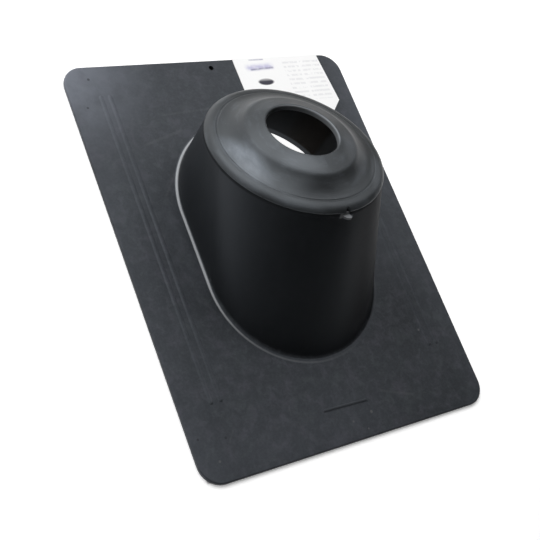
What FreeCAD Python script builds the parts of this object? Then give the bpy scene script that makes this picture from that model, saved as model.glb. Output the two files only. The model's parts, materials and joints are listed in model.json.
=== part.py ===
import FreeCAD, Part
import math
import os

# Pipe flashing boot for a vent pipe through a pitched roof: a moulded plastic base, which is a flat
# flange with a hollow upstand, and a soft collar that clips on top of the upstand and grips the pipe.
# Millimetres. X runs across the roof, Y up the slope and Z square to the flange. The origin is at the
# middle of the flange's underside.

# Flange
flange_width = 279.4
flange_length = 355.6
flange_thickness = 3.0
flange_corner_radius = 18.0
flange_edge_round = 1.2
nail_hole_diameter = 4.6
nail_hole_to_top_edge = 8.0

# Water ribs: two fine beads along each side of the flange
rib_width = 4.0
rib_height = 0.35
rib_spacing = 8.0
rib_to_side_edge = 27.2
rib_to_top_edge = 30.0
rib_to_bottom_edge = 60.0

# Upstand: its foot is two half circles joined by straight sides
foot_spread = 3.5
foot_front_y = -30.0
foot_back_y = 35.5
foot_fillet = 3.0
wall = 3.0

# Seat of the collar on top of the upstand, square to an axis that leans up the slope
seat_tilt_deg = 19.0
seat_y = 47.8
seat_z = 68.6
seat_radius = 74.5
shoulder_width = 2.5
ring_height = 2.5
ring_width = 9.0
ring_depth = 1.0

# Locating tab near the front of the upstand, below a notch in the collar
tab_turn_deg = 3.5
tab_width = 9.4
tab_thickness = 1.8
tab_drop = 2.0
notch_width = 4.4
notch_depth = 2.6

# Collar: rim, cove, hub and lip, from the outside in
rim_overhang = 0.5
rim_width = 10.0
rim_edge_height = 0.8
rim_side_deg = 62.0
rim_round = 8.0
rim_slope_deg = 8.0
groove_to_cove = 1.0
groove_width = 2.0
groove_depth = 0.25
cove_inner_radius = 48.0
cove_slope_deg = 44.0
shoulder_round = 9.0
hub_slope_deg = 17.0
rubber_thickness = 3.2
pipe_diameter = 60.3
pipe_squeeze = 0.6
bore_edge_round = 1.5
lip_length = 4.6
lip_thickness = 3.0
hook_width = 3.0
hook_reach = 3.5
hook_thickness = 2.5
seat_gap = 0.2

# Card label laid on the flange beside the upstand
label_thickness = 0.4
label_to_centre = 24.5
label_top_width = 92.8
label_flare = 4.6
label_to_foot = 1.9
label_chamfer = 11.5
label_ramp = 10.0
label_rib_gap = 0.05

# Sizes for making the shapes: how far a cutter runs past a face, and how finely edges are matched
cut_past = 1.0
match = 0.01

seat_centre = FreeCAD.Vector(0, seat_y, seat_z)
seat_placement = FreeCAD.Placement(seat_centre, FreeCAD.Rotation(FreeCAD.Vector(1, 0, 0), -seat_tilt_deg))
foot_radius = seat_radius + foot_spread
ring_inner_radius = seat_radius - shoulder_width - ring_width
cove_outer_radius = seat_radius + rim_overhang - rim_width
groove_radius = cove_outer_radius + groove_to_cove
bore_radius = (pipe_diameter - pipe_squeeze) / 2


def on_seat(x, y, t):
    """A point given from the seat's centre, with t along its axis."""
    return seat_placement.multVec(FreeCAD.Vector(x, y, t))


def half_circle(centre, radius, side):
    """Half circle from +X to -X about centre; side is a vector to its middle."""
    across = FreeCAD.Vector(radius, 0, 0)
    return Part.Arc(centre + across, centre + side * radius, centre - across).toShape()


def hood(inset):
    """Solid between the foot outline and the seat circle, both drawn in by inset."""
    radius = foot_radius - inset
    top_radius = seat_radius - inset
    up = FreeCAD.Vector(0, 1, 0)
    seat_up = seat_placement.Rotation.multVec(up)
    front_top = on_seat(0, -seat_radius, 0)
    lean = math.atan2(front_top.y - foot_front_y + foot_radius, front_top.z)
    front = FreeCAD.Vector(0, foot_front_y + inset * (1 / math.cos(lean) - 1), 0)
    back = FreeCAD.Vector(0, foot_back_y, 0)
    foot_arcs = [half_circle(front, radius, -up), half_circle(back, radius, up)]
    seat_arcs = [half_circle(seat_centre, top_radius, side) for side in (-seat_up, seat_up)]
    faces = [Part.makeRuledSurface(low, high) for low, high in zip(foot_arcs, seat_arcs)]
    foot_edges = list(foot_arcs)
    for sign in (1, -1):
        across = FreeCAD.Vector(sign * radius, 0, 0)
        corners = [front + across, back + across, on_seat(sign * top_radius, 0, 0)]
        faces.append(Part.Face(Part.makePolygon(corners + corners[:1])))
        foot_edges.append(Part.makeLine(corners[0], corners[1]))
    faces.append(Part.Face(Part.Wire(Part.__sortEdges__(foot_edges))))
    faces.append(Part.Face(Part.Wire(seat_arcs)))
    shell = Part.makeShell(faces)
    shell.sewShape()
    return Part.makeSolid(shell)


def seat_disc(radius, low, high, y=0):
    """Disc square to the seat between two heights; y sets it off centre, towards the tab if negative."""
    disc = Part.makeCylinder(radius, high - low, FreeCAD.Vector(0, y, low))
    disc.rotate(FreeCAD.Vector(), FreeCAD.Vector(0, 0, 1), tab_turn_deg)
    disc.Placement = seat_placement.multiply(disc.Placement)
    return disc


def arc_radius(width, height):
    """Radius of the arc that is this wide and this high."""
    return (width ** 2 / 4 + height ** 2) / (2 * height)


def bead(x, low_y, high_y):
    """Rib with round ends: the cap of a rod that lies mostly inside the flange."""
    radius = arc_radius(rib_width, rib_height)
    z = flange_thickness + rib_height - radius
    ends = [FreeCAD.Vector(x, low_y, z), FreeCAD.Vector(x, high_y, z)]
    rod = Part.makeCylinder(radius, high_y - low_y, ends[0], FreeCAD.Vector(0, 1, 0))
    rod = rod.fuse([Part.makeSphere(radius, end) for end in ends])
    room = Part.makeBox(2 * radius, high_y - low_y + 2 * radius, radius)
    room.translate(FreeCAD.Vector(x - radius, low_y - radius, flange_thickness / 2))
    return rod.common(room)


def flange():
    plate = Part.makeBox(flange_width, flange_length, flange_thickness)
    plate.translate(FreeCAD.Vector(-flange_width / 2, -flange_length / 2, 0))
    corners = [edge for edge in plate.Edges if abs(edge.tangentAt(edge.FirstParameter).z) > 0.5]
    plate = plate.makeFillet(flange_corner_radius, corners)
    rim = [edge for edge in plate.Edges if edge.BoundBox.ZMin > flange_thickness / 2]
    plate = plate.makeFillet(flange_edge_round, rim)
    low_y = -flange_length / 2 + rib_to_bottom_edge
    high_y = flange_length / 2 - rib_to_top_edge
    ribs = []
    for sign in (-1, 1):
        for step in range(2):
            x = flange_width / 2 - rib_to_side_edge - step * rib_spacing
            ribs.append(bead(sign * x, low_y, high_y))
    return plate.fuse(ribs)


def foot_edges(shape):
    """Edges where the upstand rises from the flange's top."""
    found = []
    rib_room = flange_width / 2 - rib_to_side_edge - rib_spacing - rib_width
    for edge in shape.Edges:
        box = edge.BoundBox
        flat = box.ZMax - box.ZMin < match and abs(box.ZMin - flange_thickness) < match
        if flat and max(abs(box.XMin), abs(box.XMax)) < rib_room:
            found.append(edge)
    return found


def build_base():
    base = flange().fuse(hood(0))
    base = base.makeFillet(foot_fillet, foot_edges(base))
    ring_radius = seat_radius - shoulder_width
    base = base.fuse(seat_disc(ring_radius, -wall, ring_height))
    base = base.fuse(seat_disc(tab_width / 2, -tab_drop - tab_thickness, -tab_drop, -seat_radius))
    base = base.cut(hood(wall).cut(seat_disc(seat_radius + cut_past, -ring_depth, cut_past)))
    base = base.cut(seat_disc(ring_inner_radius, -wall - cut_past, ring_height + cut_past))
    hole = FreeCAD.Vector(0, flange_length / 2 - nail_hole_to_top_edge, -cut_past)
    base = base.cut(Part.makeCylinder(nail_hole_diameter / 2, flange_thickness + 2 * cut_past, hole))
    return base.removeSplitter()


def section_normal(slope_deg):
    """Outward normal of a collar surface that rises inwards at this slope, in a section y = 0."""
    angle = math.radians(slope_deg)
    return FreeCAD.Vector(math.sin(angle), 0, math.cos(angle))


def section_arc(centre, radius, first_deg, last_deg):
    """Arc of a collar section between two slopes; a negative radius bends the other way."""
    middle_deg = (first_deg + last_deg) / 2
    points = [centre + section_normal(angle) * radius for angle in (first_deg, middle_deg, last_deg)]
    return Part.Arc(*points).toShape()


def section_lines(points):
    """Straight edges of a collar section through (radius, height) pairs."""
    corners = [FreeCAD.Vector(radius, 0, height) for radius, height in points]
    return [Part.makeLine(a, b) for a, b in zip(corners, corners[1:])]


def collar_section():
    """Closed outline of the collar in its own frame, seat at height 0."""
    rim_radius = seat_radius + rim_overhang
    rim_edge = FreeCAD.Vector(rim_radius, 0, rim_edge_height)
    rim_centre = rim_edge - section_normal(rim_side_deg) * rim_round
    rim_top = rim_centre + section_normal(rim_slope_deg) * rim_round
    tan_rim = math.tan(math.radians(rim_slope_deg))
    cove_start = FreeCAD.Vector(cove_outer_radius, 0, rim_top.z + (rim_top.x - cove_outer_radius) * tan_rim)
    sine_step = math.sin(math.radians(cove_slope_deg)) - math.sin(math.radians(rim_slope_deg))
    cove_round = (cove_outer_radius - cove_inner_radius) / sine_step
    cove_centre = cove_start + section_normal(rim_slope_deg) * cove_round
    cove_end = cove_centre - section_normal(cove_slope_deg) * cove_round
    shoulder_centre = cove_end - section_normal(cove_slope_deg) * shoulder_round
    hub_start = shoulder_centre + section_normal(hub_slope_deg) * shoulder_round
    edge_centre = FreeCAD.Vector(bore_radius + bore_edge_round, 0, 0)
    tan_hub = math.tan(math.radians(hub_slope_deg))
    edge_top = FreeCAD.Vector(edge_centre.x + bore_edge_round * math.sin(math.radians(hub_slope_deg)), 0, 0)
    edge_top.z = hub_start.z + (hub_start.x - edge_top.x) * tan_hub
    edge_centre.z = edge_top.z - bore_edge_round * math.cos(math.radians(hub_slope_deg))
    lip_low = edge_centre.z + bore_edge_round - lip_length
    lip_outer = bore_radius + lip_thickness
    hub_under = hub_start - section_normal(hub_slope_deg) * rubber_thickness
    lip_top = hub_under.z + (hub_under.x - lip_outer) * tan_hub
    hook_outer = ring_inner_radius - seat_gap
    hook_inner = hook_outer - hook_width
    under_round = cove_round + rubber_thickness
    hook_deg = math.degrees(math.asin((cove_centre.x - hook_inner) / under_round))
    hook_top = cove_centre - section_normal(hook_deg) * under_round
    hook_low = -ring_depth - seat_gap
    skirt_inner = seat_radius - shoulder_width + seat_gap
    edges = section_lines([(rim_radius, 0), (rim_radius, rim_edge_height)])
    edges.append(section_arc(rim_centre, rim_round, rim_side_deg, rim_slope_deg))
    edges.append(Part.makeLine(rim_top, cove_start))
    edges.append(section_arc(cove_centre, -cove_round, rim_slope_deg, cove_slope_deg))
    edges.append(section_arc(shoulder_centre, shoulder_round, cove_slope_deg, hub_slope_deg))
    edges.append(Part.makeLine(hub_start, edge_top))
    edges.append(section_arc(edge_centre, bore_edge_round, hub_slope_deg, -90))
    edges += section_lines([(bore_radius, edge_centre.z), (bore_radius, lip_low), (lip_outer, lip_low),
                            (lip_outer, lip_top), (hub_under.x, hub_under.z)])
    under_shoulder = shoulder_round - rubber_thickness
    edges.append(section_arc(shoulder_centre, under_shoulder, hub_slope_deg, cove_slope_deg))
    edges.append(section_arc(cove_centre, -under_round, cove_slope_deg, hook_deg))
    edges += section_lines([(hook_inner, hook_top.z), (hook_inner, hook_low - hook_thickness),
                            (hook_outer + hook_reach, hook_low - hook_thickness),
                            (hook_outer + hook_reach, hook_low), (hook_outer, hook_low),
                            (hook_outer, ring_height + seat_gap), (skirt_inner, ring_height + seat_gap),
                            (skirt_inner, 0), (rim_radius, 0)])
    groove_height = cove_start.z - (groove_radius - cove_start.x) * tan_rim
    return edges, groove_height


def build_collar():
    edges, groove_height = collar_section()
    outline = Part.Wire(Part.__sortEdges__(edges))
    collar = Part.Face(outline).revolve(FreeCAD.Vector(), FreeCAD.Vector(0, 0, 1), 360)
    groove_round = arc_radius(groove_width, groove_depth)
    groove_centre = FreeCAD.Vector(0, 0, groove_height + groove_round - groove_depth)
    groove = Part.makeTorus(groove_radius, groove_round, groove_centre)
    collar = collar.cut(groove)
    notch_radius = arc_radius(notch_width, notch_depth)
    notch_y = notch_depth - notch_radius - seat_radius - rim_overhang
    collar.Placement = seat_placement
    return collar.cut(seat_disc(notch_radius, -cut_past, rim_round, notch_y))


def build_label():
    """Card with one cut corner; it lies on the flange and rides up over the ribs."""
    top = flange_length / 2
    low = foot_back_y + foot_radius + label_to_foot
    lift = flange_thickness + rib_height + label_rib_gap
    card_room = lift + label_thickness + cut_past
    top_right = label_to_centre + label_top_width
    right = top_right + label_flare
    outline = [(label_to_centre, top), (top_right, top), (right, low + label_chamfer),
               (right - label_chamfer, low), (label_to_centre, low)]
    corners = [FreeCAD.Vector(x, y, 0) for x, y in outline]
    cutter = Part.Face(Part.makePolygon(corners + corners[:1])).extrude(FreeCAD.Vector(0, 0, card_room))
    inner_rib = flange_width / 2 - rib_to_side_edge - rib_spacing - rib_width / 2
    under = [(label_to_centre, flange_thickness), (inner_rib - label_ramp, flange_thickness),
             (inner_rib, lift), (right, lift)]
    over = [(x, z + label_thickness) for x, z in reversed(under)]
    section = [FreeCAD.Vector(x, low, z) for x, z in under + over]
    sheet = Part.Face(Part.makePolygon(section + section[:1])).extrude(FreeCAD.Vector(0, top - low, 0))
    return sheet.common(cutter)


os.makedirs("parts", exist_ok=True)
for name, build in (("base", build_base), ("rubber_collar", build_collar), ("card_label", build_label)):
    shape = build()
    shape.exportStep("parts/" + name + ".step")
    print(name, shape.isValid(), len(shape.Solids), round(shape.Volume))
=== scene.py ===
# %% [markdown]
# # A pipe flashing boot for a roof
# The boot is a black plastic flange with a hollow leaning upstand, a soft grey collar that grips the vent
# pipe, and a card label. Its shapes are finished already, so this script gives each piece its surface,
# adds the small moulded and printed details, and sets up the studio.

# %% Load the model
import json
import math

import bpy
from mathutils import Matrix, Vector


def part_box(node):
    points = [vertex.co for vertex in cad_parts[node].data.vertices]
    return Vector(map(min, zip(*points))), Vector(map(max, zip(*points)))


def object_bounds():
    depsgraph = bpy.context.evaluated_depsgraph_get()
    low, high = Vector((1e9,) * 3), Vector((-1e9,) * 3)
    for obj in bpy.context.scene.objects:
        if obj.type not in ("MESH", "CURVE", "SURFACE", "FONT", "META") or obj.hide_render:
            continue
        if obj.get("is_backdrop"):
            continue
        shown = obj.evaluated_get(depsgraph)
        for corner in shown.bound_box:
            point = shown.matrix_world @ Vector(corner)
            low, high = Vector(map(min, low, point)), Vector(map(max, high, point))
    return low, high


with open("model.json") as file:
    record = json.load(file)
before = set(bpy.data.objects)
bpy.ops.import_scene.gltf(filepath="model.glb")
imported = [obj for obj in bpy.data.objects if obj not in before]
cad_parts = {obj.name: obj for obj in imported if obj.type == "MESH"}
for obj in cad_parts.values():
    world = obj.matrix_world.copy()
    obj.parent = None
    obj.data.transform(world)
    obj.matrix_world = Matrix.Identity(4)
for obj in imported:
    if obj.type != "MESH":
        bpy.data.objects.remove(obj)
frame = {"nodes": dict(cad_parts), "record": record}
cad_low, cad_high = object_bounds()
MM = 0.001
base = frame["nodes"]["base"]
collar = frame["nodes"]["rubber_collar"]
label = frame["nodes"]["card_label"]
flange_low, flange_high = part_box("base")
label_low, label_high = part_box("card_label")
print("whole object, mm:", [round((b - a) / MM, 1) for a, b in zip(cad_low, cad_high)])

# %% [markdown]
# ## Small tools for building materials
# Every finish here is built from position on the part, in metres, so grain and marks keep their real size.
# These few helpers add a node, join it up and hand back its output.

# %% Node helpers
def new_material(name):
    """Empty material with its node tree and its main shader."""
    material = bpy.data.materials.new(name)
    material.use_nodes = True
    tree = material.node_tree
    shader = tree.nodes["Principled BSDF"]
    return material, tree, shader


def node(tree, kind, inputs=(), output=0, **settings):
    """Adds a node, sets its settings and inputs, and returns one of its outputs."""
    made = tree.nodes.new(kind)
    for key, value in settings.items():
        setattr(made, key, value)
    for key, value in dict(inputs).items():
        if isinstance(value, bpy.types.NodeSocket):
            tree.links.new(value, made.inputs[key])
        else:
            made.inputs[key].default_value = value
    return made.outputs[output] if len(made.outputs) else None


def place(tree):
    """Position on the piece, in metres."""
    return node(tree, "ShaderNodeTexCoord", output="Object")


def math_node(tree, operation, a, b=0.0, c=0.0, clamp=False):
    return node(tree, "ShaderNodeMath", {0: a, 1: b, 2: c}, operation=operation, use_clamp=clamp)


def multiply(tree, first, *others):
    """Product of any number of values, taken from left to right."""
    for other in others:
        first = math_node(tree, "MULTIPLY", first, other)
    return first


def noise(tree, scale, detail=3.0, roughness=0.5, stretch=None, spin=0.0, distortion=0.0):
    """Noise between 0 and 1; scale is in features per metre, and stretch squeezes the axes first."""
    vector = place(tree)
    if stretch:
        vector = node(tree, "ShaderNodeMapping", {"Vector": vector, "Rotation": (0, 0, spin), "Scale": stretch})
    values = {"Vector": vector, "Scale": scale, "Detail": detail, "Roughness": roughness,
              "Distortion": distortion}
    return node(tree, "ShaderNodeTexNoise", values, output="Fac")


def remap(tree, value, low, high, to_low=0.0, to_high=1.0):
    """Takes low..high to to_low..to_high with a soft start and end, and stays flat beyond."""
    values = {"Value": value, "From Min": low, "From Max": high, "To Min": to_low, "To Max": to_high}
    return node(tree, "ShaderNodeMapRange", values, interpolation_type="SMOOTHSTEP")


def mix_colour(tree, factor, a, b):
    """Colour a where factor is 0 and colour b where it is 1."""
    made = tree.nodes.new("ShaderNodeMix")
    made.data_type = "RGBA"
    for index, value in ((0, factor), (6, a), (7, b)):
        if isinstance(value, bpy.types.NodeSocket):
            tree.links.new(value, made.inputs[index])
        else:
            made.inputs[index].default_value = value
    return made.outputs[2]


def grey(value, tint=(1.0, 1.0, 1.0)):
    return (value * tint[0], value * tint[1], value * tint[2], 1.0)


def bump(tree, layers):
    """Stacks (height, strength, distance in metres) layers and returns the bent normal."""
    normal = None
    for height, strength, distance in layers:
        values = {"Height": height, "Strength": strength, "Distance": distance}
        if normal is not None:
            values["Normal"] = normal
        normal = node(tree, "ShaderNodeBump", values)
    return normal


def specks(tree, per_metre, size, share, seed=0.0):
    """1 inside small round dots; size is a dot's radius in cells, and share is how many cells have one."""
    vector = node(tree, "ShaderNodeMapping", {"Vector": place(tree), "Location": (seed, seed, seed)})
    cell = tree.nodes.new("ShaderNodeTexVoronoi")
    cell.inputs["Scale"].default_value = per_metre
    tree.links.new(vector, cell.inputs["Vector"])
    near = remap(tree, cell.outputs["Distance"], size, size * 0.4)
    split = node(tree, "ShaderNodeSeparateColor", {"Color": cell.outputs["Color"]}, output=0)
    chosen = math_node(tree, "LESS_THAN", split, share)
    return multiply(tree, near, chosen)


def smooth(piece, degrees=35):
    """Rounds the shading across soft edges and keeps it crisp across sharp ones."""
    with bpy.context.temp_override(object=piece, active_object=piece, selected_objects=[piece]):
        bpy.ops.object.shade_auto_smooth(angle=math.radians(degrees))


print("helpers ready")

# %% [markdown]
# ## The moulded plastic of the base
# The flange and upstand are one piece of black filled plastic, matt to satin, and a little blue where it
# catches the sky. Close to, it has a fine moulded grain and faint flow marks along the flange. A pale sheen
# is painted near the upper left corner and along the flange's outer bands, as light on the surface.
# The finish is laid on in thin layers: big soft changes first, then grain, then painted sheen, scuffs and
# specks.

# %% Marks that sit at a place
def spot(tree, x, y, centre, radius, soft=0.5):
    """1 at a point on the flange, falling to 0 at radius; soft is the share of the radius that fades."""
    dx = math_node(tree, "SUBTRACT", x, centre[0])
    dy = math_node(tree, "SUBTRACT", y, centre[1])
    square = math_node(tree, "ADD", multiply(tree, dx, dx), multiply(tree, dy, dy))
    return remap(tree, math_node(tree, "SQRT", square), radius, radius * (1 - soft))


def stroke(tree, x, y, centre, half, turn=0.0, soft=0.0006):
    """1 inside a turned rectangle with soft edges; sizes in metres, turn in radians."""
    dx = math_node(tree, "SUBTRACT", x, centre[0])
    dy = math_node(tree, "SUBTRACT", y, centre[1])
    c, s = math.cos(turn), math.sin(turn)
    u = math_node(tree, "ADD", multiply(tree, dx, c), multiply(tree, dy, s))
    v = math_node(tree, "SUBTRACT", multiply(tree, dy, c), multiply(tree, dx, s))
    inside_u = remap(tree, math_node(tree, "ABSOLUTE", u), half[0] + soft, half[0] - soft)
    inside_v = remap(tree, math_node(tree, "ABSOLUTE", v), half[1] + soft, half[1] - soft)
    return multiply(tree, inside_u, inside_v)


def layer(tree, colour, factor, strength, over):
    """Lays a colour over another where factor is high."""
    return mix_colour(tree, math_node(tree, "MULTIPLY", factor, strength, clamp=True), colour, over)


def split_place(tree):
    """Position on the piece as x, y and z."""
    xyz = tree.nodes.new("ShaderNodeSeparateXYZ")
    tree.links.new(place(tree), xyz.inputs[0])
    return xyz.outputs[0], xyz.outputs[1], xyz.outputs[2]


print("marks can be a spot or a stroke")

# %% [markdown]
# The flange has a painted sheen on a corner and along its sides, a broad painted shade at the lower right,
# short scuffs, and a few specks. They are listed here in metres from the flange's middle, so one can be moved
# without touching the rest. The pale areas are painted light, and the darker area is painted shade.
# Such a flange often has raised lettering near the lower edge, and one plain bar stands there instead.

# %% Where the marks of the base lie
pipe_bore = next(m for m in frame["record"]["mounts"] if m["name"] == "pipe_bore")
collar_axis = Vector(pipe_bore["axis"]).normalized()
collar_point = Vector(pipe_bore["pos_m"])
collar_lean = math.atan2(collar_axis.y, collar_axis.z)

# The pale colour serves both the painted sheen and a fine speckle. The corner, the side bands and the listed
# sheen areas are painted light, and the darker place is painted shade.
pale_sheen_and_speckle = (0.13, 0.14, 0.165, 1.0)
corner_sheen_radius = 0.095
side_band_start, side_band_full = 0.024, 0.012
painted_shade_place, painted_shade_radius = (0.082, -0.078), 0.060
rib_places = (-0.1125, -0.1045, 0.1045, 0.1125)
# The flank offset places a painted pale strip on each rib's right flank.
rib_flank_offset, rib_middle_y, rib_half = 0.0012, 0.015, (0.0007, 0.133)
bar_place, bar_half, bar_turn = (-0.0005, -0.1484), (0.0215, 0.0009), -0.02
# Painted sheen: middle x and y, half width and half length, softness of the edge, strength.
flange_sheens = ((-0.060, -0.165, 0.085, 0.015, 0.050, 0.14), (0.138, 0.140, 0.008, 0.070, 0.012, 0.16),
                 (-0.089, 0.005, 0.006, 0.040, 0.012, 0.12), (-0.137, -0.150, 0.008, 0.030, 0.025, 0.08))
# Scuffs: middle x and y, half length, half width, turn.
scuffs = ((-0.0705, 0.1055, 0.020, 0.0012, 0.27), (-0.040, 0.128, 0.024, 0.0010, 0.05),
          (-0.080, 0.062, 0.012, 0.0008, 0.9), (0.052, -0.150, 0.016, 0.0010, -0.35),
          (-0.0508, -0.1404, 0.0036, 0.0005, 1.45), (-0.106, -0.146, 0.006, 0.0006, 0.9))
# Specks: x, y and radius.
pale_specks = ((-0.1219, -0.1613, 0.0010), (0.0008, -0.1622, 0.0009), (0.0207, -0.1588, 0.0013),
               (0.100, -0.104, 0.0010), (0.012, -0.171, 0.0008))
dark_specks = ((-0.1108, -0.146, 0.0011), (-0.1327, -0.1417, 0.0009), (-0.118, 0.1655, 0.0012),
               (-0.127, 0.139, 0.0010))
print("on the flange:", len(flange_sheens), "blooms,", len(scuffs), "scuffs,",
      len(pale_specks) + len(dark_specks), "specks")

# %% [markdown]
# The finish goes on in three layers: broad painted light and shade, then haze and fine streaks, then single
# marks. Each takes the colour so far and hands on a new one, so that a layer can be left out or changed by
# itself.

# %% Painted light and wear on the flange
def flange_painted_light_on(tree, colour, x, y, on_flange):
    """Painted light and shade: a paler flange, sheen areas, a darker area and pale rib flanks. Also returns the
    ragged noise that breaks up the edges of the sheen and the scuffs.
    """
    # Painted light: the whole flange is made a little paler than the upstand's wall.
    colour = layer(tree, colour, on_flange, 0.05, (0.055, 0.060, 0.066, 1.0))
    for cx, cy, half_x, half_y, soft, strength in flange_sheens:
        painted_sheen = multiply(tree, stroke(tree, x, y, (cx, cy), (half_x, half_y), 0.0, soft), on_flange)
        colour = layer(tree, colour, painted_sheen, strength, pale_sheen_and_speckle)
    # Painted shade: a broad darker area at the lower right, beside the upstand.
    deep = multiply(tree, spot(tree, x, y, painted_shade_place, painted_shade_radius, 0.9), on_flange)
    colour = layer(tree, colour, deep, 0.95, grey(0.002))
    # Painted sheen near the upper left corner and along both outer bands, with ragged edges.
    corner = spot(tree, x, y, (flange_low.x, flange_high.y), corner_sheen_radius, 1.0)
    side_band = remap(tree, math_node(tree, "ABSOLUTE", x), flange_high.x - side_band_start,
                      flange_high.x - side_band_full)
    ragged = remap(tree, noise(tree, 38.0, 4.0, 0.6), 0.30, 0.62, 0.55, 1.0)
    painted_sheen = math_node(tree, "MULTIPLY_ADD", side_band, 0.05, multiply(tree, corner, 0.90))
    colour = layer(tree, colour, multiply(tree, painted_sheen, ragged, on_flange), 1.0, pale_sheen_and_speckle)
    # Painted light: a thin pale strip down the right flank of each rib.
    for rib_x in rib_places:
        flank = stroke(tree, x, y, (rib_x + rib_flank_offset, rib_middle_y), rib_half, soft=0.0008)
        colour = layer(tree, colour, multiply(tree, flank, on_flange), 0.15, pale_sheen_and_speckle)
    return colour, ragged


def flange_haze_on(tree, colour, on_flange):
    """Fine streaks everywhere, and a thin cloudy haze and speckle on the flange. Also returns the streaks."""
    rub = remap(tree, noise(tree, 60.0, 5.0, 0.7, stretch=(0.3, 1.4, 1.0), spin=0.9), 0.60, 0.78)
    colour = layer(tree, colour, rub, 0.10, grey(0.05))
    haze = multiply(tree, remap(tree, noise(tree, 120.0, 4.0, 0.65, distortion=0.4), 0.40, 0.72), on_flange)
    hue = remap(tree, noise(tree, 60.0, 3.0, 0.6), 0.35, 0.65)
    haze_colour = mix_colour(tree, hue, (0.098, 0.118, 0.112, 1.0), (0.120, 0.108, 0.138, 1.0))
    colour = layer(tree, colour, haze, 0.14, haze_colour)
    speckle = multiply(tree, remap(tree, noise(tree, 520.0, 2.0, 0.7), 0.38, 0.66), on_flange)
    return layer(tree, colour, speckle, 0.050, pale_sheen_and_speckle), rub


def flange_marks_on(tree, colour, x, y, on_flange, ragged):
    """The plain bar, scuffs, specks and dust. Also returns the bar."""
    bar = multiply(tree, stroke(tree, x, y, bar_place, bar_half, bar_turn, 0.0008), on_flange)
    colour = layer(tree, colour, bar, 0.85, grey(0.001))
    for cx, cy, half_long, half_wide, turn in scuffs:
        mark = stroke(tree, x, y, (cx, cy), (half_long, half_wide), turn, soft=0.0009)
        colour = layer(tree, colour, multiply(tree, mark, ragged, on_flange), 0.14, grey(0.10))
    for specks_here, shade in ((pale_specks, grey(0.07)), (dark_specks, grey(0.006))):
        for cx, cy, radius in specks_here:
            speck = multiply(tree, spot(tree, x, y, (cx, cy), radius * 1.3), on_flange)
            colour = layer(tree, colour, speck, 0.8, shade)
    dust = specks(tree, 320.0, 0.18, 0.030)
    return layer(tree, colour, dust, 0.10, grey(0.12)), bar


print("three layers of wear ready")

# %% [markdown]
# The foot of the upstand has a painted highlight, a thin pale line along its fillet. The foot is two half
# circles joined by straight sides, so y is first clamped to the straight part and the distance is measured
# from there. A surface belongs to the inside of the hollow when it faces the middle, so the side it faces is
# tested, and not its place. Some shades here are painted light and not wear: the pale line at the foot, the
# black inside, the two paler shades on the inner wall, the darker and duller right side, the dark band of the
# seat just under the collar, and the pale tab. They suit a view from the front left. For another view or
# another light, leave them out.

# %% Foot and wall of the upstand
foot_front, foot_back, foot_line_radius = -0.030, 0.0355, 0.0794
# Colour of the painted highlight along the foot.
foot_highlight_colour = (0.33, 0.34, 0.35, 1.0)
foot_middle_y = 0.020
# The tab's colour is a painted highlight.
tab_place, tab_radius, tab_highlight_colour = (0.0019, -0.0263), 0.0060, (0.16, 0.165, 0.17, 1.0)
right_side_colour = (0.0050, 0.0034, 0.0029, 1.0)
# Shades of the inner wall: x where it starts, x where it is full, colour.
lit_walls = ((0.040, 0.062, (0.060, 0.050, 0.040, 1.0)), (0.0648, 0.0668, (0.15, 0.155, 0.16, 1.0)))


def foot_highlight_at(tree, x, y, z):
    """1 on the painted highlight round the foot; it fades towards the right and the front, away from the light.
    """
    clamped = node(tree, "ShaderNodeClamp", {"Value": y, "Min": foot_front, "Max": foot_back})
    beyond = math_node(tree, "SUBTRACT", y, clamped)
    to_middle = math_node(tree, "MULTIPLY_ADD", x, x, multiply(tree, beyond, beyond))
    to_line = math_node(tree, "SUBTRACT", math_node(tree, "SQRT", to_middle), foot_line_radius)
    from_foot = math_node(tree, "ABSOLUTE", to_line)
    return multiply(tree, remap(tree, from_foot, 0.0013, 0.0003), remap(tree, z, 0.0075, 0.0060),
                    remap(tree, x, 0.045, -0.055, 0.05, 1.0), remap(tree, y, -0.100, -0.020, 0.15, 1.0))


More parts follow.
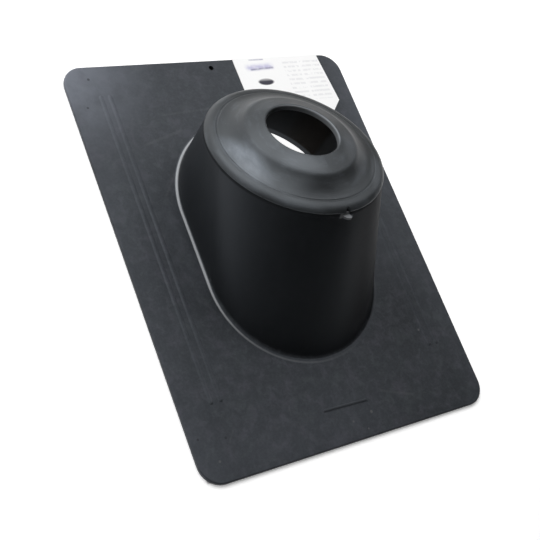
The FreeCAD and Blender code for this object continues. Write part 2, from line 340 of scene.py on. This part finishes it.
def wall_on(tree, colour, x, y, z):
    """Painted shade and light on the inner wall, right side, seat and tab. Also returns where the surface is
    duller than elsewhere.
    """
    facing = tree.nodes.new("ShaderNodeSeparateXYZ")
    tree.links.new(tree.nodes.new("ShaderNodeNewGeometry").outputs["Normal"], facing.inputs[0])
    from_middle_y = math_node(tree, "SUBTRACT", y, foot_middle_y)
    outward = math_node(tree, "MULTIPLY_ADD", facing.outputs[0], x,
                        multiply(tree, facing.outputs[1], from_middle_y))
    inside = multiply(tree, remap(tree, outward, -0.010, -0.022), remap(tree, z, 0.0040, 0.0060))
    colour = layer(tree, colour, inside, 1.0, grey(0.0015))
    right_side = multiply(tree, remap(tree, facing.outputs[0], 0.08, 0.42), remap(tree, z, 0.008, 0.020),
                          math_node(tree, "SUBTRACT", 1.0, inside))
    colour = layer(tree, colour, right_side, 0.75, right_side_colour)
    for from_x, to_x, shade in lit_walls:
        colour = layer(tree, colour, multiply(tree, inside, remap(tree, x, from_x, to_x)), 1.0, shade)
    from_collar = node(tree, "ShaderNodeVectorMath", {0: place(tree), 1: tuple(collar_point)},
                       operation="SUBTRACT")
    along_axis = node(tree, "ShaderNodeVectorMath", {0: from_collar, 1: tuple(collar_axis)},
                      output="Value", operation="DOT_PRODUCT")
    seat = multiply(tree, remap(tree, along_axis, -0.0200, -0.0185), remap(tree, z, 0.030, 0.034))
    tab = multiply(tree, spot(tree, x, y, tab_place, tab_radius, 0.3),
                   remap(tree, along_axis, -0.0212, -0.0203))
    # Painted shade on the seat just under the collar, and a painted highlight on the tab.
    colour = layer(tree, colour, seat, 0.9, grey(0.003))
    colour = layer(tree, colour, tab, 0.8, tab_highlight_colour)
    dull = math_node(tree, "MAXIMUM", seat, inside)
    return colour, math_node(tree, "MAXIMUM", dull, multiply(tree, right_side, 0.65))


print("foot and wall ready")

# %% [markdown]
# The layers go on from the broadest to the finest. The colour stays nearly black throughout: what reads as
# grey on such a plastic is mostly the light on its surface, so the roughness and the grain carry the look.

# %% Plastic material
plastic_sheen_tint = (0.80, 0.88, 1.0, 1.0)


def plastic_material():
    material, tree, shader = new_material("base_plastic")
    x, y, z = split_place(tree)
    cloud = noise(tree, 14.0, 3.0)
    mottle = noise(tree, 170.0, 3.0, 0.6)
    flow = noise(tree, 55.0, 3.0, 0.55, stretch=(0.14, 1.0, 1.0), spin=0.12)
    tone = math_node(tree, "MULTIPLY_ADD", cloud, 0.50, -0.10)
    tone = math_node(tree, "MULTIPLY_ADD", mottle, 0.35, tone)
    tone = math_node(tree, "MULTIPLY_ADD", flow, 0.35, tone)
    colour = mix_colour(tree, tone, grey(0.004, (0.92, 1.0, 1.12)), grey(0.018, (0.90, 1.0, 1.12)))
    on_flange = remap(tree, z, 0.0060, 0.0036)
    colour, ragged = flange_painted_light_on(tree, colour, x, y, on_flange)
    colour, rub = flange_haze_on(tree, colour, on_flange)
    colour, bar = flange_marks_on(tree, colour, x, y, on_flange, ragged)
    colour = layer(tree, colour, foot_highlight_at(tree, x, y, z), 1.0, foot_highlight_colour)
    colour, dull = wall_on(tree, colour, x, y, z)
    tree.links.new(colour, shader.inputs["Base Color"])
    rough = math_node(tree, "MULTIPLY_ADD", mottle, 0.08, 0.40)
    rough = math_node(tree, "MULTIPLY_ADD", cloud, 0.08, rough)
    rough = math_node(tree, "MULTIPLY_ADD", dull, 0.35, rough)
    tree.links.new(rough, shader.inputs["Roughness"])
    grain = noise(tree, 1500.0, 2.0, 0.6)
    ripple = noise(tree, 42.0, 2.0)
    layers = [(ripple, 0.25, 0.0006), (flow, 0.15, 0.0004), (bar, 0.5, 0.0003), (grain, 0.20, 0.00012),
              (rub, 0.15, 0.0001)]
    tree.links.new(bump(tree, layers), shader.inputs["Normal"])
    shader.inputs["IOR"].default_value = 1.46
    shader.inputs["Specular Tint"].default_value = plastic_sheen_tint
    return material


base_plastic = plastic_material()
base.data.materials.clear()
base.data.materials.append(base_plastic)
smooth(base)
print("base: one moulding, finish laid on", len(base.data.polygons), "faces")

# %% [markdown]
# ## The soft collar
# The collar is a moulded elastomer. It is a shade lighter than the base, with a painted sheen on the hub, the
# rim and the left of the cove, and the moulding leaves faint rings round its axis, so the grain is worked out
# from the distance to that axis. The rings and the painted sheen break up the broad highlight that a soft
# rubber has.

# %% Places round the collar
def around(tree, across, along, at_angle, at_radius, wide, deep):
    """1 near a place given round the collar: angle in degrees from the front towards the left."""
    a = math.radians(at_angle)
    centre = (-at_radius * math.sin(a), -at_radius * math.cos(a))
    turn = math.atan2(centre[1], centre[0]) + math.pi / 2
    dx = math_node(tree, "SUBTRACT", across, centre[0])
    dy = math_node(tree, "SUBTRACT", along, centre[1])
    c, s = math.cos(turn), math.sin(turn)
    u = math_node(tree, "ADD", multiply(tree, dx, c / wide), multiply(tree, dy, s / wide))
    v = math_node(tree, "SUBTRACT", multiply(tree, dy, c / deep), multiply(tree, dx, s / deep))
    reach = math_node(tree, "SQRT", math_node(tree, "MULTIPLY_ADD", u, u, multiply(tree, v, v)))
    return remap(tree, reach, 1.0, 0.25)


def from_side(tree, across, along, share_across, share_along):
    """Distance from the collar's axis towards one side, in metres."""
    return math_node(tree, "MULTIPLY_ADD", across, share_across, multiply(tree, along, share_along))


# Each place: angle, radius, half width round the collar, half width across it.
left_cove_place = (77, 0.0580, 0.037, 0.0125)
front_patch_place = (11, 0.0590, 0.030, 0.0150)
sag_place = (12, 0.063, 0.055, 0.034)
# Painted sheen on hub and rim: a place as above, then strength.
hub_sheens = ((30, 0.038, 0.026, 0.0115, 0.28), (-62, 0.040, 0.028, 0.011, 0.20),
              (-55, 0.067, 0.040, 0.0075, 0.16), (160, 0.037, 0.022, 0.009, 0.10),
              (67, 0.062, 0.020, 0.0070, 0.22), (28, 0.0715, 0.030, 0.006, 0.12),
              (-50, 0.0525, 0.026, 0.008, 0.20))
# Colours of the painted sheen, the painted dark back right and the painted pale bore wall.
hub_sheen_colour, cove_sheen_colour = (0.19, 0.205, 0.225, 1.0), (0.19, 0.215, 0.25, 1.0)
back_right_colour, bore_colour = (0.006, 0.0058, 0.0052, 1.0), (0.17, 0.18, 0.19, 1.0)
print("on the collar:", len(hub_sheens), "blooms")

# %% [markdown]
# At the front the cove looks wider than a turned shape would. That is taken as a soft sag in the rubber, which
# is a guess, and it is shallow, so it is given as a slight bend in the shading and not as shape. The pale
# sheen on the hub, the rim and the left of the cove, the dark patch at the front, the dark back right and the
# pale far wall of the bore are painted light, as on the base.

# %% Collar material
def collar_places(tree):
    """Across, along and radius, measured square to the collar's own axis."""
    centred = node(tree, "ShaderNodeVectorMath", {0: place(tree), 1: tuple(collar_point)}, operation="SUBTRACT")
    upright = node(tree, "ShaderNodeVectorRotate", {"Vector": centred, "Angle": collar_lean, "Axis": (1, 0, 0)},
                   rotation_type="AXIS_ANGLE")
    flat = node(tree, "ShaderNodeVectorMath", {0: upright, 1: (1, 1, 0)}, operation="MULTIPLY")
    radius = node(tree, "ShaderNodeVectorMath", {0: flat}, output="Value", operation="LENGTH")
    own = tree.nodes.new("ShaderNodeSeparateXYZ")
    tree.links.new(upright, own.inputs[0])
    return own.outputs[0], own.outputs[1], radius


def collar_wear_and_light(tree, colour, across, along, radius):
    """Smears that run round the collar, then painted light: sheen, the dark front, the dark back right and the
    pale bore. Returns the smears and the front patch too.
    """
    angle = math_node(tree, "ARCTAN2", across, along)
    arcs = node(tree, "ShaderNodeCombineXYZ", {0: multiply(tree, angle, 0.016), 1: radius, 2: 0.0})
    arcs = node(tree, "ShaderNodeTexNoise", {"Vector": arcs, "Scale": 170.0, "Detail": 4.0, "Roughness": 0.6},
                output="Fac")
    smears = remap(tree, arcs, 0.48, 0.72)
    colour = layer(tree, colour, smears, 0.30, (0.075, 0.085, 0.098, 1.0))
    streaky = noise(tree, 46.0, 5.0, 0.62, stretch=(1.0, 0.45, 1.0), spin=0.6)
    streaky = remap(tree, streaky, 0.30, 0.70, 0.25, 1.0)
    # Painted sheen on the left of the cove, then on the hub and rim.
    left_cove = around(tree, across, along, *left_cove_place)
    colour = layer(tree, colour, multiply(tree, left_cove, streaky), 0.85, cove_sheen_colour)
    for at_angle, at_radius, wide, deep, strength in hub_sheens:
        painted_sheen = around(tree, across, along, at_angle, at_radius, wide, deep)
        colour = layer(tree, colour, painted_sheen, strength, hub_sheen_colour)
    # Painted shade: the dark patch at the front, then the dark back right; painted light on the far bore wall.
    front_patch = around(tree, across, along, *front_patch_place)
    colour = layer(tree, colour, front_patch, 0.90, grey(0.003))
    back_right = from_side(tree, across, along, 0.70, 0.71)
    colour = layer(tree, colour, remap(tree, back_right, 0.012, 0.034), 0.75, back_right_colour)
    far_side = from_side(tree, across, along, 0.86, 0.50)
    in_bore = multiply(tree, remap(tree, radius, 0.0314, 0.0304), remap(tree, far_side, 0.004, 0.020))
    return layer(tree, colour, in_bore, 0.9, bore_colour), smears, front_patch


def rubber_material():
    material, tree, shader = new_material("collar_rubber")
    across, along, radius = collar_places(tree)
    rings = node(tree, "ShaderNodeTexNoise", {"W": radius, "Scale": 900.0, "Detail": 2.0}, output="Fac",
                 noise_dimensions="1D")
    cloud = noise(tree, 24.0, 3.0, 0.55)
    mottle = noise(tree, 220.0, 3.0, 0.6)
    tone = math_node(tree, "MULTIPLY_ADD", cloud, 0.60, multiply(tree, mottle, 0.35))
    colour = mix_colour(tree, tone, grey(0.006, (0.90, 1.0, 1.10)), grey(0.032, (0.90, 1.0, 1.08)))
    colour = layer(tree, colour, rings, 0.10, grey(0.05))
    colour, smears, front_patch = collar_wear_and_light(tree, colour, across, along, radius)
    rub = remap(tree, noise(tree, 70.0, 5.0, 0.7, stretch=(1.4, 0.4, 1.0), spin=0.5), 0.58, 0.78)
    colour = layer(tree, colour, rub, 0.22, grey(0.09))
    dust = specks(tree, 330.0, 0.20, 0.05, seed=1.3)
    colour = layer(tree, colour, dust, 0.15, grey(0.20))
    tree.links.new(colour, shader.inputs["Base Color"])
    rough = math_node(tree, "MULTIPLY_ADD", mottle, 0.10, 0.38)
    rough = math_node(tree, "MULTIPLY_ADD", cloud, 0.06, rough)
    rough = math_node(tree, "MULTIPLY_ADD", front_patch, -0.08, rough)
    tree.links.new(rough, shader.inputs["Roughness"])
    grain = noise(tree, 1300.0, 2.0, 0.6)
    sag = multiply(tree, remap(tree, radius, 0.072, 0.0515), around(tree, across, along, *sag_place))
    layers = [(cloud, 0.30, 0.0010), (sag, 1.0, 0.0016), (rings, 0.10, 0.0001), (smears, 0.25, 0.0002),
              (grain, 0.22, 0.00012), (rub, 0.12, 0.0001)]
    tree.links.new(bump(tree, layers), shader.inputs["Normal"])
    shader.inputs["IOR"].default_value = 1.55
    shader.inputs["Specular Tint"].default_value = (0.84, 0.92, 1.0, 1.0)
    shader.inputs["Sheen Weight"].default_value = 0.03
    shader.inputs["Sheen Roughness"].default_value = 0.5
    return material


collar.data.materials.clear()
collar.data.materials.append(rubber_material())
smooth(collar)
print("collar axis leans", round(math.degrees(collar_lean), 1), "degrees")

# %% [markdown]
# ## The card label
# Coated white card, printed. The print here is plain: a pale lavender band over a thin base line, a short
# line above it, a dark oval, and rows of faint grey where small print would be, in two columns. Each mark is
# placed from the card's own upper left corner, so the print stays sharp and keeps its size.

# %% Label material
lavender, violet, ink_blue = (0.36, 0.34, 0.60, 1.0), (0.16, 0.15, 0.30, 1.0), (0.07, 0.06, 0.19, 1.0)
oval_colour, small_print = (0.006, 0.004, 0.022, 1.0), (0.42, 0.42, 0.46, 1.0)
oval_place, oval_radius, oval_squeeze = (0.0262, 0.0260), 0.0040, 0.42
row_pitch = 0.0046
# Columns of small print: middle from the left and from the top, half width and half height.
columns = ((0.060, 0.0240, 0.0085, 0.0200), (0.0815, 0.0260, 0.0105, 0.0220))


def card_material():
    material, tree, shader = new_material("label_card")
    x, y, _ = split_place(tree)
    fibre = noise(tree, 900.0, 3.0, 0.6)
    colour = mix_colour(tree, multiply(tree, fibre, 0.5), grey(0.88), grey(0.95))
    left, top = label_low.x, label_high.y
    ink = remap(tree, noise(tree, 210.0, 2.0), 0.32, 0.62, 0.55, 1.0)
    band = stroke(tree, x, y, (left + 0.0255, top - 0.0100), (0.0140, 0.0020), 0.03, soft=0.0034)
    colour = layer(tree, colour, multiply(tree, band, ink), 0.80, lavender)
    base_line = stroke(tree, x, y, (left + 0.0275, top - 0.0120), (0.0125, 0.0007), 0.05, soft=0.0012)
    colour = layer(tree, colour, multiply(tree, base_line, ink), 0.85, ink_blue)
    top_line = stroke(tree, x, y, (left + 0.0245, top - 0.0022), (0.0080, 0.0006), 0.0, soft=0.0006)
    colour = layer(tree, colour, multiply(tree, top_line, ink), 0.65, violet)
    oval_x = left + oval_place[0]
    squeezed = math_node(tree, "MULTIPLY_ADD", x, oval_squeeze, (1 - oval_squeeze) * oval_x)
    oval = spot(tree, squeezed, y, (oval_x, top - oval_place[1]), oval_radius, 0.3)
    lower = remap(tree, y, top - 0.0232, top - 0.0258, 0.60, 1.0)
    colour = layer(tree, colour, multiply(tree, oval, lower), 1.0, oval_colour)
    rows = math_node(tree, "DIVIDE", math_node(tree, "SUBTRACT", y, top), row_pitch)
    from_row = math_node(tree, "SUBTRACT", math_node(tree, "FRACT", rows), 0.5)
    line = remap(tree, math_node(tree, "ABSOLUTE", from_row), 0.30, 0.14)
    words = remap(tree, noise(tree, 330.0, 2.0, 0.6, stretch=(1.0, 0.6, 1.0)), 0.38, 0.52)
    for from_left, from_top, half_wide, half_high in columns:
        block = stroke(tree, x, y, (left + from_left, top - from_top), (half_wide, half_high), soft=0.0005)
        colour = layer(tree, colour, multiply(tree, line, words, block), 0.26, small_print)
    tree.links.new(colour, shader.inputs["Base Color"])
    tree.links.new(math_node(tree, "MULTIPLY_ADD", fibre, 0.15, 0.40), shader.inputs["Roughness"])
    wave = noise(tree, 40.0, 2.0)
    tree.links.new(bump(tree, [(wave, 0.3, 0.0006), (fibre, 0.15, 0.00005)]), shader.inputs["Normal"])
    return material


label.data.materials.clear()
label.data.materials.append(card_material())
smooth(label, 20)
print("label, mm:", [round((b - a) / MM, 1) for a, b in zip(label_low, label_high)])

# %% [markdown]
# ## Table, light and camera
# The part lies on a white table top in a white room. Black plastic shows mostly what it reflects, so where
# the light stands matters more than how strong it is. Three softboxes light it: the main one behind and a
# little to the left, a weak one behind on the right, and a long narrow one nearly overhead. Two screens of
# black cloth stand round the front and the right and hang below the table's level. The camera looks through
# them, and they keep the front of the upstand deep black.

# %% Table top
nail_hole = next(m for m in frame["record"]["mounts"] if m["name"] == "nail_hole")


table_half_width = 0.62
table_glow, edge_glow, edge_from = 0.28, 0.55, 0.60
hollow_place, hollow_radius = (0.045, 0.090), 0.028
under_margin = 0.004


def floor_material():
    """White. It glows a little to the camera and in gloss, more at its edge, and under the pipe's hole."""
    material, tree, shader = new_material("floor")
    x, y, _ = split_place(tree)
    in_hollow = spot(tree, x, y, hollow_place, hollow_radius, 0.2)
    under = stroke(tree, x, y, (0.0, 0.0), (flange_high.x - under_margin, flange_high.y - under_margin))
    # Painted shade: under the nail hole the floor turns near black and stops glowing, standing in for the shade
    # under the flange.
    shade = spot(tree, x, y, nail_hole["pos_m"][:2], 0.008, 0.2)
    tree.links.new(mix_colour(tree, shade, grey(0.92), grey(0.02)), shader.inputs["Base Color"])
    shader.inputs["Roughness"].default_value = 0.9
    shader.inputs["Specular IOR Level"].default_value = 0.1
    glow = math_node(tree, "MULTIPLY_ADD", under, -table_glow, table_glow)
    glow = math_node(tree, "MAXIMUM", glow, in_hollow)
    table_edge = math_node(tree, "SUBTRACT", 1.0, spot(tree, x, y, (0.0, 0.0), edge_from, 0.30))
    glow = math_node(tree, "MULTIPLY_ADD", table_edge, edge_glow, glow)
    glow = multiply(tree, glow, math_node(tree, "SUBTRACT", 1.0, shade))
    path = tree.nodes.new("ShaderNodeLightPath")
    seen = math_node(tree, "MAXIMUM", path.outputs["Is Camera Ray"], path.outputs["Is Glossy Ray"])
    seen = math_node(tree, "MAXIMUM", seen, path.outputs["Is Transmission Ray"])
    tree.links.new(multiply(tree, glow, seen), shader.inputs["Emission Strength"])
    shader.inputs["Emission Color"].default_value = grey(1.0)
    return material


corners = [(x * table_half_width, y * table_half_width, 0) for x, y in ((-1, -1), (1, -1), (1, 1), (-1, 1))]
mesh = bpy.data.meshes.new("floor")
mesh.from_pydata(corners, [], [(0, 1, 2, 3)])
floor = bpy.data.objects.new("floor", mesh)
floor.location.z = cad_low.z - 0.2 * MM
floor.data.materials.append(floor_material())
bpy.context.scene.collection.objects.link(floor)
floor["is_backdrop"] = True
print("table", 2 * table_half_width, "m wide")

# %% [markdown]
# The room is white, as bright as white card, so whatever the black plastic mirrors at a flat angle is white
# too. Black cloth on frames is how a studio keeps that light off one side.

# %% White room
world = bpy.data.worlds.new("studio")
world.use_nodes = True
bpy.context.scene.world = world
world.node_tree.nodes["Background"].inputs["Color"].default_value = grey(1.0)
world.node_tree.nodes["Background"].inputs["Strength"].default_value = 1.0
bpy.context.scene.view_settings.view_transform = "Standard"


def sky(azimuth, elevation, distance):
    """Point in the studio; azimuth is from +Y towards +X, in degrees, and elevation above the table."""
    a, e = math.radians(azimuth), math.radians(elevation)
    return Vector((math.sin(a) * math.cos(e), math.cos(a) * math.cos(e), math.sin(e))) * distance


def dark_screen(name, from_azimuth, to_azimuth, from_elevation, to_elevation, distance=6.0, step=5):
    """Black cloth bent round the part; it darkens reflections and the camera looks through it."""
    across = int((to_azimuth - from_azimuth) / step) + 1
    up = int((to_elevation - from_elevation) / step) + 1
    points = [sky(from_azimuth + i * step, from_elevation + j * step, distance)
              for j in range(up) for i in range(across)]
    faces = [(j * across + i, j * across + i + 1, (j + 1) * across + i + 1, (j + 1) * across + i)
             for j in range(up - 1) for i in range(across - 1)]
    mesh = bpy.data.meshes.new(name)
    mesh.from_pydata(points, [], faces)
    screen = bpy.data.objects.new(name, mesh)
    material, tree, shader = new_material("black_cloth")
    weave = noise(tree, 300.0, 2.0)
    tree.links.new(mix_colour(tree, weave, grey(0.006), grey(0.012)), shader.inputs["Base Color"])
    shader.inputs["Roughness"].default_value = 1.0
    shader.inputs["Specular IOR Level"].default_value = 0.0
    screen.data.materials.append(material)
    screen.visible_camera = False
    bpy.context.scene.collection.objects.link(screen)
    screen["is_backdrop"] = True


for name, from_azimuth, to_azimuth, from_elevation, to_elevation in (
        ("front_screen", 75, 275, -20, 75),
        ("right_screen", 20, 75, -20, 30)):
    dark_screen(name, from_azimuth, to_azimuth, from_elevation, to_elevation)
print("screens up")

# %% [markdown]
# Each softbox is given by where it stands as seen from the part, how much of the view it fills, and how bright
# it would look. Their strengths were found by lighting the part with one lamp at a time and adding them up.

# %% Softboxes
def soft_box(name, azimuth, elevation, wide, high, brightness, distance=1.8):
    """Area light as seen from the part: wide and high in degrees, brightness as a white card would look."""
    size = [2 * distance * math.tan(math.radians(angle / 2)) for angle in (wide, high)]
    data = bpy.data.lights.new(name, "AREA")
    data.shape = "RECTANGLE"
    data.size, data.size_y = size
    data.energy = brightness * math.pi * size[0] * size[1]
    light = bpy.data.objects.new(name, data)
    light.location = sky(azimuth, elevation, distance)
    light.rotation_mode = "QUATERNION"
    light.rotation_quaternion = (-light.location).to_track_quat("-Z", "Y")
    bpy.context.scene.collection.objects.link(light)


for name, azimuth, elevation, wide, high, brightness in (
        ("main", -14, 46, 56, 24, 4.3),
        ("right", 64, 42, 24, 26, 1.15),
        ("upper", -20, 68, 90, 16, 1.0)):
    soft_box(name, azimuth, elevation, wide, high, brightness)

# %% [markdown]
# The camera stands at the front left and looks down on the flange. A slightly long lens keeps the flange's
# edges from running together much.

# %% Camera
camera_place = Vector((-0.45131, -0.24592, 0.64073))
camera_right = Vector((0.82756, -0.35195, 0.43735)).normalized()
camera_forward = Vector((0.53817, 0.27572, -0.79646)).normalized()
camera_up = camera_right.cross(camera_forward).normalized()
data = bpy.data.cameras.new("camera")
data.sensor_width = 36.0
data.lens = 65.59
camera = bpy.data.objects.new("camera", data)
turn = Matrix((camera_right, camera_up, -camera_forward)).transposed()
camera.matrix_world = Matrix.Translation(camera_place) @ turn.to_4x4()
bpy.context.scene.collection.objects.link(camera)
bpy.context.scene.camera = camera
print("camera stands", round(camera_place.length, 3), "m from the middle of the flange")

# %% [markdown]
# The outer box is measured again and printed after the one from the start, so that anyone can see that the
# finish has not made the part larger.

# %% Measure the size again
low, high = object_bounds()
print("size kept, mm:", [round((b - a) / MM, 2) for a, b in zip(low, high)])
